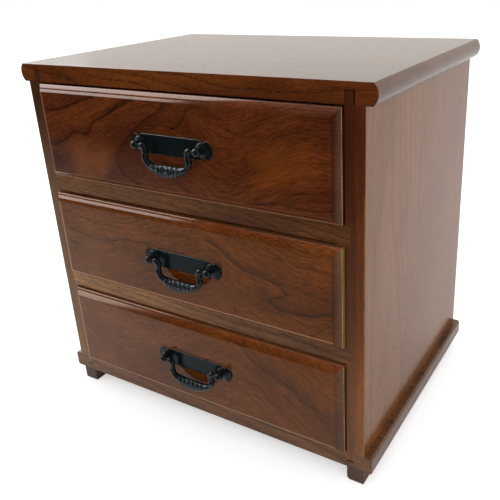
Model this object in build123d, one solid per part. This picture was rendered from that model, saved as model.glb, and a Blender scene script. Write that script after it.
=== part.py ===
from build123d import *
import os

# A small table chest of three equal drawers, in solid zelkova with cast-iron bail pulls.
# Millimetres. X runs to the right, Y to the back and Z up. The origin is on the floor,
# under the middle of the whole object's width and depth, pulls included.

# ---- Case ----
case_width = 380.0            # over the outer faces of the two side boards
case_depth = 280.0            # front edges of the boards to the back
opening_height = 99.0         # each drawer's opening
side_thickness = 18.0
top_thickness = 18.0
base_thickness = 18.0
rail_thickness = 18.0
top_overhang = 10.0           # top board past the side board, at its rounded nose
nose_sagitta = 4.0            # how far the nose stands past its upper and lower corners
base_overhang = 8.0           # base board past the side board
base_chamfer = 2.0            # on the base board's two ends
arris = 0.7                   # rounding of the edges that a hand meets

# ---- Joints of the case ----
tongue_thickness = 7.0        # tongue on each end of a side board, along its inner face
top_tongue = 11.0             # its height in the top board
base_tongue = 10.0            # its height in the base board
right_groove_slack = 2.0      # open gap beside the right tongue in the top board
left_groove_slack = 0.3       # and beside the left one
top_groove_end = 0.5          # open gap above that tongue
base_groove_end = 1.5         # open gap under the tongue in the base board
rail_housing = 5.0            # depth of the housing for rails and runners in a side board
rail_depth = 40.0             # front to back
runner_width = 20.0           # showing inside the case
dust_thickness = 4.0          # thin panel between two drawers
dust_tongue = 6.0             # its edge in the grooves of rail and runners
back_thickness = 5.0
back_rebate = 8.0             # rebate round the back that the panel lies in
panel_clearance = 0.2         # round the thin panels in their grooves and rebates

# ---- Skids ----
skid_width = 18.0
skid_height = 16.0
right_skid_inset = 0.5        # skid's outer face inside the side board's
left_skid_inset = 3.0
skid_round = 1.5              # rounding of the lower edges
right_skid_round = 4.0        # of the right skid's inner one
skid_screw_count = 3
skid_screw_margin = 40.0      # first and last screw from the skid's ends
skid_screw_inset = 5.6        # screws from the skid's outer face, clear of the tongues above
screw_radius = 2.0
screw_head_radius = 4.0
screw_head_height = 2.5
screw_bite = 12.0             # thread in the base board
screw_recess = 7.0            # depth of the pocket that hides the head
fastener_clearance = 0.05     # round a shank in its hole

# ---- Back panel nails ----
nail_radius = 0.8
nail_length = 20.0
nail_head_radius = 1.8
nail_head_height = 0.6
nails_per_side = 4
nails_per_end = 3
nail_margin = 45.0            # first and last nail from the panel's corners

# ---- Drawers ----
front_thickness = 18.0
front_proud = 9.0             # flat of the drawer front before the case's front
front_bevel = 6.5             # sloping border round the flat
front_crease = 1.2            # rounding where the flat meets its border
drawer_side_gap = 0.9         # drawer to side board, each side
drawer_top_gap = 1.5          # drawer to the rail or board above
drawer_running_gap = 0.3      # drawer to what it runs on
drawer_side_thickness = 10.0
drawer_back_thickness = 10.0
drawer_rear_gap = 8.0         # drawer to back panel
front_lap = 6.0               # end of a drawer side let into the back of the front
bottom_thickness = 5.0
bottom_lift = 6.0             # bottom panel above the drawer's lower edge
bottom_groove = 5.0           # groove for it in sides and front
back_drop = 5.0               # drawer back below the tops of the drawer sides
stop_length = 40.0
stop_depth = 12.0
stop_height = 4.0
stop_spacing = 220.0          # between the middles of a pair of stops
stop_gap = 0.3                # stop to the back of a closed drawer's front
middle_drawer_ajar = 1.8      # the middle drawer stands this far open

# ---- Pulls ----
post_spacing = 72.0
pull_shift = 1.9              # pull to the right of the middle of its drawer
handle_lift = 1.9             # and above the middle of its opening
plate_thickness = 1.5
plate_half_height = 9.3
plate_bar_half = 35.8         # half length of the plate's straight middle
plate_corner = 1.9            # cut corners of that middle
notch_reach = 37.8            # deepest point of the notch between middle and ear
notch_half_height = 6.3
ear_tip_reach = 42.2          # pointed tips of the ear above and below
ear_tip_height = 9.2
ear_reach = 47.0              # end of the ear
plate_edge = 0.4
post_base_radius = 6.5
post_collar_radius = 5.0
post_ring_height = 1.4        # of the base and of the collar
post_neck_radius = 3.2
ball_radius = 4.0
ball_reach = 8.0              # middle of the ball before the drawer front
stem_radius = 2.0
stem_hole_radius = 2.2
nut_radius = 4.0              # over its corners
nut_height = 3.2
nut_flange_radius = 5.5
nut_flange_height = 0.8
stem_end = 2.0                # stem past the nut
pivot_radius = 1.6
pivot_clearance = 0.05
pivot_depth = 4.0             # pivot in its ball
pivot_end_gap = 0.6           # pivot's end to the bottom of its bore
arm_radius = 3.0
arm_shoulder_gap = 2.6        # thick part of the bail to the ball
arm_upper_reach = 24.9        # middle of the arm, from the pull's middle, at the pivots
arm_lower_reach = 25.4        # and where it meets the grip
arm_bend = 3.4
grip_end_drop = 10.0          # grip's ends below the pivots
grip_half_length = 28.6
grip_depth = 18.0             # how far its lower edge bows down below its ends
grip_inner_half = 22.3        # half the opening between its ends
grip_inner_drop = 15.5        # upper edge of the grip below the pivots
grip_inner_corner = 4.0
grip_thickness = 9.0          # front to back
grip_round = 2.4

# ---- Places that follow ----
drawer_names = ["top", "middle", "bottom"]
opening_width = case_width - 2 * side_thickness
opening_pitch = opening_height + rail_thickness
base_bottom = skid_height
base_top = base_bottom + base_thickness
top_bottom = base_top + len(drawer_names) * opening_pitch - rail_thickness
top_top = top_bottom + top_thickness
floors = {name: base_top + (len(drawer_names) - 1 - i) * opening_pitch
          for i, name in enumerate(drawer_names)}
rail_bottoms = {"upper": floors["top"] - rail_thickness,
                "lower": floors["middle"] - rail_thickness}
ajar = {"top": 0.0, "middle": middle_drawer_ajar, "bottom": 0.0}
foremost = front_proud + ball_reach + grip_thickness / 2 + middle_drawer_ajar
case_front = -(case_depth - foremost) / 2
case_back = case_front + case_depth
panel_front = case_back - back_thickness
field = case_front - front_proud
front_back = field + front_thickness
drawer_rear = panel_front - drawer_rear_gap
drawer_half = opening_width / 2 - drawer_side_gap
drawer_inner_half = drawer_half - drawer_side_thickness
drawer_height = opening_height - drawer_running_gap - drawer_top_gap
pull_middle = opening_height / 2 + handle_lift
skid_outers = {1: case_width / 2 - right_skid_inset, -1: case_width / 2 - left_skid_inset}


def block(x0, x1, y0, y1, z0, z1):
    """A plain block between two corners."""
    middle = Pos((x0 + x1) / 2, (y0 + y1) / 2, (z0 + z1) / 2)
    return middle * Box(x1 - x0, y1 - y0, z1 - z0)


def rod(radius, start, end):
    """A round rod from one point to another."""
    way = Vector(*end) - Vector(*start)
    return extrude(Plane(Vector(*start), z_dir=way) * Circle(radius), way.length)


def pair(piece):
    """A piece and its mirror image on the other side of the middle."""
    return [piece, mirror(piece, Plane.YZ)]


def save(name, pieces):
    """One STEP file for one node, which may hold several separate solids."""
    solids = pieces if isinstance(pieces, list) else [pieces]
    shape = Compound(children=solids) if len(solids) > 1 else solids[0]
    export_step(shape, f"parts/{name}.step")


# ---- Fasteners of the case ----
def skid_screw_places(side):
    """Where the screws stand in the right (1) or left (-1) skid, as x and y."""
    first = case_front + skid_screw_margin
    step = (case_depth - 2 * skid_screw_margin) / (skid_screw_count - 1)
    across = side * (skid_outers[side] - skid_screw_inset)
    return [(across, first + i * step) for i in range(skid_screw_count)]


def skid_screw(x, y, spare=0.0):
    """A wood screw from below, or with spare the hole it needs."""
    seat = screw_recess
    head = rod(screw_head_radius + spare, (x, y, seat - screw_head_height), (x, y, seat))
    return head + rod(screw_radius + spare, (x, y, seat), (x, y, base_bottom + screw_bite))


def nail_places():
    """Where nails hold the back panel, as x and z, all round its edge."""
    edge_x = opening_width / 2 + back_rebate / 2
    lows = base_top - back_rebate / 2
    highs = top_bottom + back_rebate / 2
    rise = (highs - lows - 2 * nail_margin) / (nails_per_side - 1)
    run = (2 * edge_x - 2 * nail_margin) / (nails_per_end - 1)
    sides = [(side * edge_x, lows + nail_margin + i * rise)
             for side in (-1, 1) for i in range(nails_per_side)]
    ends = [(-edge_x + nail_margin + i * run, z)
            for z in (lows, highs) for i in range(nails_per_end)]
    return sides + ends


def nail(x, z, spare=0.0):
    """A round-headed nail with its head flush in the panel, or the hole it needs."""
    head = rod(nail_head_radius + spare, (x, case_back, z), (x, case_back - nail_head_height, z))
    return head + rod(nail_radius + spare, (x, case_back, z), (x, case_back - nail_length, z))


def nail_holes():
    return [nail(x, z, fastener_clearance) for x, z in nail_places()]


def skid_screws(spare=0.0):
    """The screws of both skids, or with spare the holes they need."""
    return [skid_screw(x, y, spare) for side in (-1, 1) for x, y in skid_screw_places(side)]


# ---- Boards of the case ----
def back_recess():
    """The room that the back panel takes in the boards round it."""
    reach = opening_width / 2 + back_rebate
    return block(-reach, reach, panel_front, case_back,
                 base_top - back_rebate, top_bottom + back_rebate)


def tongue_groove(side, z0, z1, slack):
    """Groove for a side board's tongue, wider by the slack on its outer side."""
    inner, outer = opening_width / 2, opening_width / 2 + tongue_thickness + slack
    return block(min(side * inner, side * outer), max(side * inner, side * outer),
                 case_front, case_back, z0, z1)


def top_board():
    half = case_width / 2 + top_overhang
    corner = half - nose_sagitta
    nose = top_thickness / 2
    outline = [Line((-corner, 0), (corner, 0)),
               ThreePointArc((corner, 0), (half, nose), (corner, top_thickness)),
               Line((corner, top_thickness), (-corner, top_thickness)),
               ThreePointArc((-corner, top_thickness), (-half, nose), (-corner, 0))]
    face = Plane((0, case_front, top_bottom), x_dir=(1, 0, 0), z_dir=(0, -1, 0)) * make_face(outline)
    board = extrude(face, -case_depth)
    joint_lines = board.faces().sort_by(Axis.Z)[0].edges().filter_by(Axis.X)
    board = fillet([edge for edge in board.edges() if edge not in joint_lines], arris)
    for side, slack in ((1, right_groove_slack), (-1, left_groove_slack)):
        board -= tongue_groove(side, top_bottom, top_bottom + top_tongue + top_groove_end, slack)
    return board - back_recess() - nail_holes()


def base_board():
    half = case_width / 2 + base_overhang
    board = block(-half, half, case_front, case_back, base_bottom, base_top)
    ends = board.faces().sort_by(Axis.X)
    board = chamfer(ends[0].edges().filter_by(Axis.Y) + ends[-1].edges().filter_by(Axis.Y), base_chamfer)
    for side in (-1, 1):
        board -= tongue_groove(side, base_top - base_tongue - base_groove_end, base_top, 0)
    return board - back_recess() - nail_holes() - skid_screws(fastener_clearance)


def side_board():
    """The right side board, with its tongues and the housings for rails and runners."""
    inner, outer = opening_width / 2, case_width / 2
    board = block(inner, outer, case_front, case_back, base_top, top_bottom)
    board = fillet(board.faces().sort_by(Axis.X)[-1].edges().filter_by(Axis.Z), arris)
    board += block(inner, inner + tongue_thickness, case_front, case_back,
                   base_top - base_tongue, top_bottom + top_tongue)
    for z in rail_bottoms.values():
        board -= block(inner, inner + rail_housing, case_front, case_back, z, z + rail_thickness)
    return board - back_recess() - nail_holes()


def dust_panel(z):
    """Thin panel behind a rail and between its runners."""
    half = opening_width / 2 - runner_width + dust_tongue
    middle = z + rail_thickness / 2
    return block(-half, half, case_front + rail_depth - dust_tongue, panel_front,
                 middle - dust_thickness / 2, middle + dust_thickness / 2)


def dust_groove(z):
    """The room for a dust panel in the rail and runners: it lies on the lower cheek."""
    box = dust_panel(z).bounding_box()
    return block(box.min.X - panel_clearance, box.max.X + panel_clearance,
                 box.min.Y - panel_clearance, box.max.Y, box.min.Z, box.max.Z + panel_clearance)


def front_rail(z):
    reach = opening_width / 2 + rail_housing
    rail = block(-reach, reach, case_front, case_front + rail_depth, z, z + rail_thickness)
    return rail - dust_groove(z)


def runner(z):
    """The right runner behind a rail, housed in the side board."""
    runner_block = block(opening_width / 2 - runner_width, opening_width / 2 + rail_housing,
                         case_front + rail_depth, panel_front, z, z + rail_thickness)
    return runner_block - dust_groove(z)


def back_panel():
    recess = back_recess()
    box = recess.bounding_box()
    panel = block(box.min.X + panel_clearance, box.max.X - panel_clearance, panel_front, case_back,
                  box.min.Z + panel_clearance, box.max.Z - panel_clearance)
    return panel - nail_holes()


def skid(side, inner_round):
    """The right (1) or left (-1) skid, with its own rounding of the lower inner edge."""
    outer = skid_outers[side]
    foot = block(outer - skid_width, outer, case_front, case_back, 0, skid_height)
    inner_edge = foot.faces().sort_by(Axis.Z)[0].edges().filter_by(Axis.Y).sort_by(Axis.X)[0]
    foot = fillet(inner_edge, inner_round)
    foot = fillet(foot.faces().sort_by(Axis.Z)[0].edges().sort_by(Axis.X)[1:], skid_round)
    if side < 0:
        foot = mirror(foot, Plane.YZ)
    for x, y in skid_screw_places(side):
        foot -= skid_screw(x, y, fastener_clearance)
        foot -= rod(screw_head_radius + fastener_clearance, (x, y, 0), (x, y, screw_recess))
    return foot


def drawer_stops(floor):
    """A pair of blocks that the back of a closed drawer's front meets."""
    start = front_back + stop_gap
    stop = block(stop_spacing / 2 - stop_length / 2, stop_spacing / 2 + stop_length / 2,
                 start, start + stop_depth, floor, floor + stop_height)
    return pair(stop)


# ---- Drawers, each built with the floor of its opening at Z = 0 ----
def bottom_recess():
    """The groove room for a drawer's bottom panel."""
    reach = drawer_inner_half + bottom_groove
    low = drawer_running_gap + bottom_lift
    return block(-reach, reach, front_back - bottom_groove, drawer_rear, low, low + bottom_thickness)


def drawer_front():
    low, high = drawer_running_gap, drawer_running_gap + drawer_height
    board = block(-drawer_half, drawer_half, field, front_back, low, high)
    board = chamfer(board.faces().sort_by(Axis.Y)[0].edges(), front_bevel)
    board = fillet(board.faces().sort_by(Axis.Y)[0].edges(), front_crease)
    board -= pair(block(drawer_inner_half, drawer_half, front_back - front_lap, front_back, low, high))
    holes = pair(rod(stem_hole_radius, (post_spacing / 2, field, pull_middle),
                     (post_spacing / 2, front_back, pull_middle)))
    return board - bottom_recess() - [Pos(pull_shift, 0, 0) * hole for hole in holes]


def drawer_side():
    """The right side of a drawer."""
    board = block(drawer_inner_half, drawer_half, front_back - front_lap, drawer_rear,
                  drawer_running_gap, drawer_running_gap + drawer_height)
    board = fillet(board.faces().sort_by(Axis.Z)[-1].edges().filter_by(Axis.Y), arris)
    return board - bottom_recess()


def drawer_back():
    low = drawer_running_gap + bottom_lift + bottom_thickness
    high = drawer_running_gap + drawer_height - back_drop
    return block(-drawer_inner_half, drawer_inner_half, drawer_rear - drawer_back_thickness,
                 drawer_rear, low, high)


def drawer_bottom():
    box = bottom_recess().bounding_box()
    return block(box.min.X + panel_clearance, box.max.X - panel_clearance,
                 box.min.Y + panel_clearance, box.max.Y, box.min.Z, box.max.Z)


# ---- Pulls, each built about its own middle on the flat of the drawer front ----
def outwards(y=0.0):
    """Plane across the pull at a depth, seen from before it, with its normal outwards."""
    return Plane((0, y, 0), x_dir=(1, 0, 0), z_dir=(0, -1, 0))


def plate_outline():
    """Straight middle with cut corners, then on each end a notch and a round ear with two tips."""
    upper = [(plate_bar_half - plate_corner, plate_half_height),
             (plate_bar_half, plate_half_height - plate_corner),
             (notch_reach, notch_half_height), (ear_tip_reach, ear_tip_height)]
    lower = [(x, -y) for x, y in reversed(upper)]
    ear = ThreePointArc(upper[-1], (ear_reach, 0), lower[0])
    right = Curve() + [Polyline(*upper), ear, Polyline(*lower)]
    middle = [Line((-x, y), (x, y)) for x, y in (upper[0], lower[-1])]
    return make_face(right + mirror(right, Plane.YZ) + middle)


def backplate():
    plate = extrude(outwards() * plate_outline(), plate_thickness)
    plate = chamfer(plate.faces().sort_by(Axis.Y)[0].edges(), plate_edge)
    return plate - pair(rod(stem_hole_radius, (post_spacing / 2, 0, 0),
                            (post_spacing / 2, -plate_thickness, 0)))


def post():
    """The right post: two rings, a neck and a ball with a bore for the bail, and a stem."""
    x = post_spacing / 2
    rings = [-plate_thickness - i * post_ring_height for i in range(3)]
    piece = rod(post_base_radius, (x, rings[0], 0), (x, rings[1], 0))
    piece += rod(post_collar_radius, (x, rings[1], 0), (x, rings[2], 0))
    piece += rod(post_neck_radius, (x, rings[2], 0), (x, -ball_reach, 0))
    piece += Pos(x, -ball_reach, 0) * Sphere(ball_radius)
    piece += rod(stem_radius, (x, rings[0], 0),
                 (x, front_thickness + nut_flange_height + nut_height + stem_end, 0))
    bore = x - ball_radius + pivot_depth + pivot_end_gap
    return piece - rod(pivot_radius + pivot_clearance, (x - 2 * ball_radius, -ball_reach, 0),
                       (bore, -ball_reach, 0))


def nut():
    """Flanged hexagon nut on the right post's stem, inside the drawer."""
    seat = Plane((post_spacing / 2, front_thickness, 0), x_dir=(1, 0, 0), z_dir=(0, 1, 0))
    piece = extrude(seat * Circle(nut_flange_radius), nut_flange_height)
    piece += extrude(seat * RegularPolygon(nut_radius, 6), nut_flange_height + nut_height)
    return piece - extrude(seat * Circle(stem_radius + fastener_clearance),
                           nut_flange_height + nut_height)


def grip_outline():
    """Crescent between the arms: half an ellipse below, with the room for the fingers above."""
    outer, end = grip_half_length, -grip_end_drop
    inner, floor = grip_inner_half, -grip_inner_drop
    lower = EllipticalCenterArc((0, end), outer, grip_depth, 180, arc_size=180)
    upper = Polyline((-outer, end), (-inner, end), (-inner, floor), (inner, floor), (inner, end),
                     (outer, end))
    outline = make_face(Curve() + [lower, upper])
    floor_corners = [corner for corner in outline.vertices() if corner.Y < end - grip_inner_corner]
    return fillet(floor_corners, grip_inner_corner)


def bail_arm():
    """The right pivot, and the arm that bends down from it into the grip."""
    thick_start = post_spacing / 2 - ball_radius - arm_shoulder_gap
    route = outwards(-ball_reach) * FilletPolyline(
        (thick_start, 0), (arm_upper_reach, 0), (arm_lower_reach, -grip_end_drop - arm_radius),
        radius=arm_bend)
    section = Plane((thick_start, -ball_reach, 0), z_dir=(-1, 0, 0)) * Circle(arm_radius)
    pivot = rod(pivot_radius, (thick_start, -ball_reach, 0),
                (post_spacing / 2 - ball_radius + pivot_depth, -ball_reach, 0))
    return sweep(section, path=route) + pivot


def bail():
    front = -ball_reach - grip_thickness / 2
    grip = extrude(outwards(front) * grip_outline(), -grip_thickness)
    rims = grip.faces().sort_by(Axis.Y)
    rim_edges = rims[0].edges() + rims[-1].edges()
    grip = fillet([edge for edge in rim_edges if edge.center().Z < -grip_end_drop], grip_round)
    return grip + pair(bail_arm())


# ---- Writing ----
def save_case():
    save("top_board", top_board())
    save("base_board", base_board())
    save("right_side", side_board())
    save("left_side", mirror(side_board(), Plane.YZ))
    save("back_panel", back_panel())
    save("back_nails", [nail(x, z) for x, z in nail_places()])
    save("right_skid", skid(1, right_skid_round))
    save("left_skid", skid(-1, skid_round))
    save("skid_screws", skid_screws())
    for name, z in rail_bottoms.items():
        save(f"{name}_rail", front_rail(z))
        save(f"{name}_dust_panel", dust_panel(z))
        save(f"{name}_right_runner", runner(z))
        save(f"{name}_left_runner", mirror(runner(z), Plane.YZ))
    for name, floor in floors.items():
        save(f"{name}_drawer_stops", drawer_stops(floor))


def save_drawer(name, drawer_place):
    save(f"{name}_drawer_front", drawer_place * drawer_front())
    save(f"{name}_drawer_right_side", drawer_place * drawer_side())
    save(f"{name}_drawer_left_side", drawer_place * mirror(drawer_side(), Plane.YZ))
    save(f"{name}_drawer_back", drawer_place * drawer_back())
    save(f"{name}_drawer_bottom", drawer_place * drawer_bottom())


def save_pull(name, pull_place):
    save(f"{name}_pull_plate", pull_place * backplate())
    save(f"{name}_pull_posts", [pull_place * piece for piece in pair(post())])
    save(f"{name}_pull_nuts", [pull_place * piece for piece in pair(nut())])
    save(f"{name}_pull_bail", pull_place * bail())


os.makedirs("parts", exist_ok=True)
save_case()
for drawer, drawer_floor in floors.items():
    place = Pos(0, -ajar[drawer], drawer_floor)
    save_drawer(drawer, place)
    save_pull(drawer, place * Pos(pull_shift, field, pull_middle))
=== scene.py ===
from math import atan2, cos, hypot, pi, radians, sin

import bmesh
import bpy
from mathutils import Matrix, Vector


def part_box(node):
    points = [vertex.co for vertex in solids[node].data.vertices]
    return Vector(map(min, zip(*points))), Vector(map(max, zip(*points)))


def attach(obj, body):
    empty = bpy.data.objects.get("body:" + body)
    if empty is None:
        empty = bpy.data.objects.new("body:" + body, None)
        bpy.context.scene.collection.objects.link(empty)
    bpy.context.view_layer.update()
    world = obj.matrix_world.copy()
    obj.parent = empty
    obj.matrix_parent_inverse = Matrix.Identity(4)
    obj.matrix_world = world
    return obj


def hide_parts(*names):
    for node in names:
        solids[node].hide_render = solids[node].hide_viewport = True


# A small table chest: three drawers in a zelkova case, each with a cast bail pull.
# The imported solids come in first. Each section then dresses the pieces in the order in which a
# maker would put them together. Metres throughout, unless a name ends in _mm.
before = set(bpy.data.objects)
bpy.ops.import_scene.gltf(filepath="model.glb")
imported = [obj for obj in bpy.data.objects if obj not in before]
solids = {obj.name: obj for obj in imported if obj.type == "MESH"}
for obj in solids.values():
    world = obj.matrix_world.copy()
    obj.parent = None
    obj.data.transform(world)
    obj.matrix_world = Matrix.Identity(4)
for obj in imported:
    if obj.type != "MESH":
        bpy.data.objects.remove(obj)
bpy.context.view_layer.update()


# ---- Camera ----
# A normal lens a little above the top, turned to the left so that the front, the top and the
# right side all show.
view = bpy.data.cameras.new("view")
view.lens = 45.3
view.sensor_width = 36.0
view.shift_x = -0.0709
view.shift_y = -0.0632
camera = bpy.data.objects.new("view", view)
camera.location = (0.3800, -0.5576, 0.4666)
camera.rotation_euler = (radians(68.137), radians(2.426), radians(30.710))
bpy.context.scene.collection.objects.link(camera)
bpy.context.scene.camera = camera


# ---- Top board ----
# One wide board of zelkova, a ring-porous wood, flat-sawn and planed, with both ends rounded to
# a nose. Brown stain sinks into the open pores of each spring's growth and draws the rings dark,
# and a satin lacquer over it mirrors whatever is bright at a low angle.
def srgb(code):
    """A swatch's hex colour as the linear red, green, blue and alpha that a shader takes."""
    parts = [int(code[i:i + 2], 16) / 255 for i in (1, 3, 5)]
    linear = [p / 12.92 if p <= 0.04045 else ((p + 0.055) / 1.055) ** 2.4 for p in parts]
    return linear + [1.0]


def add_node(tree, kind, inputs=None, **settings):
    """One node with its settings. An input given a node or a socket is linked to it."""
    made = tree.nodes.new("ShaderNode" + kind)
    for name, value in settings.items():
        setattr(made, name, value)
    for name, value in (inputs or {}).items():
        if isinstance(value, bpy.types.Node):
            value = next(output for output in value.outputs if output.enabled)
        if isinstance(value, bpy.types.NodeSocket):
            tree.links.new(value, made.inputs[name])
        else:
            made.inputs[name].default_value = value
    return made


def new_material(name):
    """An empty node material, its tree, and the place in the object in metres."""
    material = bpy.data.materials.new(name)
    material.use_nodes = True
    tree = material.node_tree
    tree.nodes.clear()
    place = add_node(tree, "TexCoord").outputs["Object"]
    return material, tree, place


def finish_material(tree, **inputs):
    """The one shader of a material, and its output."""
    named = {name.replace("_", " "): value for name, value in inputs.items()}
    shader = add_node(tree, "BsdfPrincipled", named)
    add_node(tree, "OutputMaterial", {"Surface": shader})


def along(tree, place, grain, pith):
    """The place in the log that a board came from: X along the grain, from a point on the pith."""
    turns = {"X": (0.0, 0.0, 0.0), "Y": (0.0, 0.0, radians(-90)), "Z": (0.0, radians(90), 0.0)}
    moved = add_node(tree, "VectorMath", {0: place, 1: pith}, operation="SUBTRACT")
    return add_node(tree, "Mapping", {"Vector": moved, "Rotation": turns[grain]})


def uneven_growth(tree, log, lengthwise, across, detail):
    """Noise drawn out along the grain: so many patches to the metre lengthwise and across."""
    scaled = add_node(tree, "Mapping", {"Vector": log, "Scale": (lengthwise, across, across)})
    return add_node(tree, "TexNoise", {"Vector": scaled, "Scale": 1.0, "Detail": detail})


def wavered(tree, log, ripple, length=0.2, breadth=0.06):
    """The place in a log that has grown unevenly: pushed sideways by a slow ripple."""
    drift = uneven_growth(tree, log, 1 / length, 1 / breadth, detail=2.0)
    centred = add_node(tree, "VectorMath", {0: drift.outputs["Color"], 1: (0.5, 0.5, 0.5)},
                       operation="SUBTRACT")
    pushed = add_node(tree, "VectorMath", {0: centred, 1: (0.0, ripple, ripple)},
                      operation="MULTIPLY")
    return add_node(tree, "VectorMath", {0: log, 1: pushed}, operation="ADD")


def ring_ramp(tree, radius, width, runs, shift, detail, between, darks):
    """Rings that start dark in spring and fade, at these shares of a width that wanders."""
    wander = add_node(tree, "TexNoise", {"W": radius, "Scale": runs, "Detail": detail},
                      noise_dimensions="1D")
    uneven = add_node(tree, "Math", {0: wander, 1: shift}, operation="MULTIPLY")
    count = add_node(tree, "Math", {0: radius, 1: 1.0 / width, 2: uneven},
                     operation="MULTIPLY_ADD")
    share = add_node(tree, "Math", {0: count}, operation="FRACT")
    ramp = add_node(tree, "ValToRGB", {0: share})
    for element in ramp.color_ramp.elements:
        element.color = (between, between, between, 1)
    for position, dark in darks:
        ramp.color_ramp.elements.new(position).color = (dark, dark, dark, 1)
    return ramp


def log_rings(tree, log, taper, width):
    """How dark the growth is, by the distance from the pith of a log that tapers."""
    across = add_node(tree, "VectorMath", {0: log, 1: (0.0, 1.0, 1.0)}, operation="MULTIPLY")
    radius = add_node(tree, "VectorMath", {0: across}, operation="LENGTH")
    length = add_node(tree, "SeparateXYZ", {0: log}).outputs["X"]
    radius = add_node(tree, "Math", {0: length, 1: taper, 2: radius}, operation="MULTIPLY_ADD")
    # Good and bad years come in runs of about 18 mm, and shift a ring by up to 0.8 of its width.
    return ring_ramp(tree, radius, width, runs=55.0, shift=1.6, detail=1.0, between=0.15,
                     darks=((0.06, 0.9), (0.16, 0.55), (0.45, 0.12), (0.88, 0.0)))


def stained_wood(tree, log, rings, pale, mid, dark, lining=0.8, gloss=0.24, marks=(),
                 shape=None, flecking=0.5, lacquer=1.5, contrast=1.0, sheen="#ffffff"):
    """Stained and lacquered wood, from its ring pattern and a list of (mask, colour) marks."""
    # Clouds of paler and darker wood, 110 mm long and 36 mm broad.
    cloud = uneven_growth(tree, log, lengthwise=9.0, across=28.0, detail=3.0)
    cloudy = add_node(tree, "MapRange", {"Value": cloud, "From Min": 0.36, "From Max": 0.64})
    body = add_node(tree, "Mix", {"Factor": cloudy, "A": pale, "B": mid}, data_type="RGBA")
    # Bundles of pores: real ones are 0.3 mm wide, and these are 0.9 mm, so that they show.
    pores = uneven_growth(tree, log, lengthwise=110.0, across=1150.0, detail=2.0)
    fine = add_node(tree, "MapRange", {"Value": pores, "From Min": 0.35, "From Max": 0.65,
                                       "To Min": 1.0 - 0.22 * contrast,
                                       "To Max": 1.0 + 0.18 * contrast})
    # Streaks of slower growth, 60 mm long and 4 mm apart.
    streaks = uneven_growth(tree, log, lengthwise=16.0, across=240.0, detail=3.0)
    broad = add_node(tree, "MapRange", {"Value": streaks, "From Min": 0.3, "From Max": 0.7,
                                        "To Min": 1.0 - 0.14 * contrast,
                                        "To Max": 1.0 + 0.12 * contrast})
    tone = add_node(tree, "Math", {0: fine, 1: broad}, operation="MULTIPLY")
    toned = add_node(tree, "VectorMath", {0: body, "Scale": tone}, operation="SCALE")
    # Stain in the pores: in flecks everywhere, and crowded into lines along the rings.
    fleck = add_node(tree, "MapRange", {"Value": pores, "From Min": 0.5, "From Max": 0.34})
    crowd = add_node(tree, "MapRange", {"Value": rings, "To Min": 0.25 * flecking,
                                        "To Max": flecking})
    flecks = add_node(tree, "Math", {0: fleck, 1: crowd}, operation="MULTIPLY")
    lines = add_node(tree, "Math", {0: rings, 1: lining}, operation="MULTIPLY")
    line = add_node(tree, "Math", {0: lines, 1: flecks}, operation="ADD", use_clamp=True)
    colour = add_node(tree, "Mix", {"Factor": line, "A": toned, "B": srgb(dark)}, data_type="RGBA")
    for mask, swatch in marks:
        colour = add_node(tree, "Mix", {"Factor": mask, "A": colour, "B": srgb(swatch)},
                          data_type="RGBA")
    # The lacquer has sunk 0.02 mm over the pores, and is duller there.
    rough = add_node(tree, "MapRange", {"Value": pores, "From Min": 0.3, "From Max": 0.7,
                                        "To Min": gloss + 0.05, "To Max": gloss - 0.04})
    height = add_node(tree, "Math", {0: rings, 1: -0.5, 2: pores}, operation="MULTIPLY_ADD")
    surface = {"Height": height, "Strength": 0.25, "Distance": 0.00002}
    if shape is not None:
        surface["Normal"] = shape
    bump = add_node(tree, "Bump", surface)
    finish_material(tree, Base_Color=colour, Roughness=rough, Normal=bump, IOR=lacquer,
                    Specular_Tint=srgb(sheen))


def plain_board(name, grain, pith, pale, mid, dark, width=0.006, taper=0.05, ripple=0.02,
                lining=0.8, gloss=0.2, lacquer=1.5):
    """A lacquered board with rings, cut from a log whose pith passes through a point."""
    material, tree, place = new_material(name)
    log = wavered(tree, along(tree, place, grain, pith), ripple)
    rings = log_rings(tree, log, taper, width)
    stained_wood(tree, log, rings, srgb(pale), srgb(mid), dark, lining, gloss, lacquer=lacquer)
    return material


def dress(node, material):
    """Gives a solid of the frame its finish."""
    solids[node].data.materials.clear()
    solids[node].data.materials.append(material)


top_wood = plain_board("stained_zelkova_top", "X", (0.0, -0.05, 0.30), "#6c360e", "#582808",
                       "#2a1206", width=0.009, taper=0.06, ripple=0.05, gloss=0.16, lacquer=1.6,
                       lining=0.5)
dress("top_board", top_wood)


# ---- Base board ----
# A board of the same zelkova, stained and lacquered like the top and a little narrower, with its
# two ends chamfered. The tongues of the sides go down into it.
base_wood = plain_board("stained_zelkova_base", "X", (0.1, 0.1, -0.06), "#764822", "#5f3816",
                        "#321a0c")
dress("base_board", base_wood)


# ---- Side boards ----
# Two upright zelkova boards with the same stain and lacquer. Tongues on their ends are let into
# the top and the base. The outer corner of their front edges is rubbed pale with a painted
# highlight, and the edges are painted darker toward the top as shade.
side_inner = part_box("right_side")[0][0]
side_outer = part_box("right_side")[1][0]
side_middle = (side_inner + side_outer) / 2


def combined(tree, *masks, how="MULTIPLY"):
    """Several masks as one: their product, or with MAXIMUM the strongest at each place."""
    total = masks[0]
    for mask in masks[1:]:
        total = add_node(tree, "Math", {0: total, 1: mask}, operation=how)
    return total


def facing_of(tree):
    """The three parts of the direction that a surface faces."""
    normal = add_node(tree, "NewGeometry").outputs["Normal"]
    return add_node(tree, "SeparateXYZ", {0: normal}).outputs


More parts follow.
